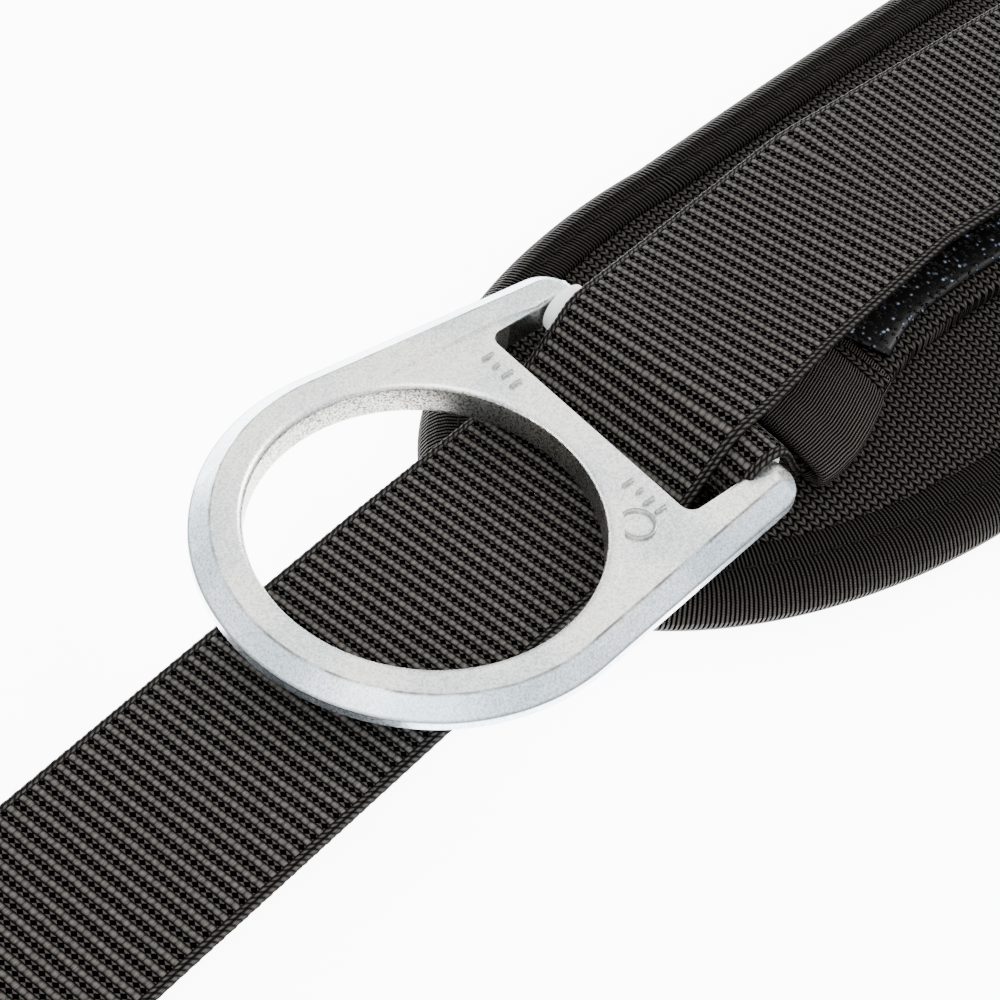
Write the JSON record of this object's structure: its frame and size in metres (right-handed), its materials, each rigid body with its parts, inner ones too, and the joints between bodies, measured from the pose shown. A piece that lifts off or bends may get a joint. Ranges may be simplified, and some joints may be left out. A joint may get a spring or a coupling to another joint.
{
  "type": "tree climbing saddle",
  "caption": "Padded waist belt of heavy webbing with forged steel side D-rings, front buckle, padded leg loops and gear loops, laid open and flat.",
  "frame": {"origin": "middle of the waist pad on its wearer side, on the surface the open saddle lies on", "axes": "+X along the waist belt from the buckle end to the tongue end, +Y towards the top edge of the belt when worn, +Z out of the outer face"},
  "size_m": [1.466, 0.301, 0.0324],
  "materials": {
    "black_metal": "black anodised aluminium",
    "bright_steel": "zinc plated steel",
    "edge_tape": "black grosgrain",
    "elastic": "black knitted elastic",
    "foam": "closed cell foam, sealed in the pad",
    "hook_tape": "black hook tape",
    "lining_mesh": "black spacer mesh",
    "loop_plastic": "black PVC tube over cord",
    "pad_fabric": "coarse black knit with raised braided rows",
    "webbing": "black heavy polyester webbing",
    "white_plastic": "smooth extruded",
    "zinc_steel": "bright zinc plate on a forged skin, satin"
  },
  "bodies": {
    "belt": {"gear_loop_anchors_left": "webbing", "gear_loop_anchors_right": "webbing", "hook_tape_left": "hook_tape", "hook_tape_right": "hook_tape", "load_webbing": "webbing", "ring_loop_webbing_left": "webbing", "ring_loop_webbing_right": "webbing", "riser_tabs_left": "webbing", "riser_tabs_right": "webbing", "tunnel_ribbon_left": "edge_tape", "tunnel_ribbon_right": "edge_tape", "tunnel_sleeve_left": "pad_fabric", "tunnel_sleeve_right": "pad_fabric", "waist_pad_binding": "edge_tape", "waist_pad_cover": "pad_fabric", "waist_pad_foam": "foam", "waist_pad_lining": "lining_mesh", "wear_sleeve_left": "white_plastic", "wear_sleeve_right": "white_plastic"},
    "ring_left": {"d_ring_left": "zinc_steel"},
    "ring_right": {"d_ring_right": "zinc_steel"},
    "buckle": {"buckle_base": "black_metal", "buckle_cover": "black_metal", "buckle_pivot_pins": "bright_steel", "buckle_rivets": "bright_steel", "buckle_springs": "bright_steel"},
    "pawl_upper": {"buckle_pawl_upper": "bright_steel"},
    "pawl_lower": {"buckle_pawl_lower": "bright_steel"},
    "tongue": {"buckle_tongue": "bright_steel"},
    "keeper": {"strap_keeper": "elastic"},
    "leg_left": {"leg_pad_binding_left": "edge_tape", "leg_pad_cover_left": "pad_fabric", "leg_pad_foam_left": "foam", "leg_pad_lining_left": "lining_mesh", "leg_webbing_left": "webbing", "riser_links_left": "bright_steel", "riser_straps_left": "webbing"},
    "leg_buckle_left": {"leg_buckle_frame_left": "black_metal"},
    "slide_bar_left": {"leg_slide_bar_left": "bright_steel"},
    "gear_loop_left": {"gear_loop_left": "loop_plastic"},
    "leg_right": {"leg_pad_binding_right": "edge_tape", "leg_pad_cover_right": "pad_fabric", "leg_pad_foam_right": "foam", "leg_pad_lining_right": "lining_mesh", "leg_webbing_right": "webbing", "riser_links_right": "bright_steel", "riser_straps_right": "webbing"},
    "leg_buckle_right": {"leg_buckle_frame_right": "black_metal"},
    "slide_bar_right": {"leg_slide_bar_right": "bright_steel"},
    "gear_loop_right": {"gear_loop_right": "loop_plastic"}
  },
  "joints": [
    {"name": "ring_left_swing", "type": "hinge", "parent": "belt", "child": "ring_left", "pos_m": [-0.3037, 0.0015, 0.021], "axis": [0, 1, 0], "range_deg": [0, 125]},
    {"name": "ring_right_swing", "type": "hinge", "parent": "belt", "child": "ring_right", "pos_m": [0.3037, 0.0015, 0.021], "axis": [0, -1, 0], "range_deg": [0, 125]},
    {"name": "buckle_swing", "type": "hinge", "parent": "belt", "child": "buckle", "pos_m": [-0.661, -0.0293, 0.0071], "axis": [0, 1, 0], "range_deg": [0, 60]},
    {"name": "tongue_swing", "type": "hinge", "parent": "belt", "child": "tongue", "pos_m": [0.661, -0.0293, 0.0071], "axis": [0, -1, 0], "range_deg": [0, 60]},
    {"name": "pawl_upper_press", "type": "hinge", "parent": "buckle", "child": "pawl_upper", "pos_m": [-0.691, -0.0063, 0.0071], "axis": [0, 0, -1], "range_deg": [0, 10], "stiffness_Nm_per_rad": 0.05, "springref_deg": -5.73},
    {"name": "pawl_lower_press", "type": "hinge", "parent": "buckle", "child": "pawl_lower", "pos_m": [-0.691, -0.0523, 0.0071], "axis": [0, 0, 1], "range_deg": [0, 10], "stiffness_Nm_per_rad": 0.05, "springref_deg": -5.73},
    {"name": "keeper_slide", "type": "slide", "parent": "belt", "child": "keeper", "axis": [1, 0, 0], "range_m": [-0.01, 0.012]},
    {"name": "leg_left_swing", "type": "hinge", "parent": "belt", "child": "leg_left", "pos_m": [-0.215, -0.08, 0.008], "axis": [-1, 0, 0], "range_deg": [0, 110]},
    {"name": "leg_buckle_left_swing", "type": "hinge", "parent": "leg_left", "child": "leg_buckle_left", "pos_m": [-0.052, -0.185, 0.008], "axis": [0, -1, 0], "range_deg": [0, 40]},
    {"name": "slide_bar_left_slide", "type": "slide", "parent": "leg_buckle_left", "child": "slide_bar_left", "axis": [1, 0, 0], "range_m": [0, 0.004]},
    {"name": "gear_loop_left_swing", "type": "hinge", "parent": "belt", "child": "gear_loop_left", "pos_m": [-0.079, -0.038, 0.0173], "axis": [-1, 0, 0], "range_deg": [0, 150]},
    {"name": "leg_right_swing", "type": "hinge", "parent": "belt", "child": "leg_right", "pos_m": [0.215, -0.08, 0.008], "axis": [-1, 0, 0], "range_deg": [0, 110]},
    {"name": "leg_buckle_right_swing", "type": "hinge", "parent": "leg_right", "child": "leg_buckle_right", "pos_m": [0.052, -0.185, 0.008], "axis": [0, 1, 0], "range_deg": [0, 40]},
    {"name": "slide_bar_right_slide", "type": "slide", "parent": "leg_buckle_right", "child": "slide_bar_right", "axis": [-1, 0, 0], "range_m": [0, 0.004]},
    {"name": "gear_loop_right_swing", "type": "hinge", "parent": "belt", "child": "gear_loop_right", "pos_m": [0.079, -0.038, 0.0173], "axis": [-1, 0, 0], "range_deg": [0, 150]}
  ]
}
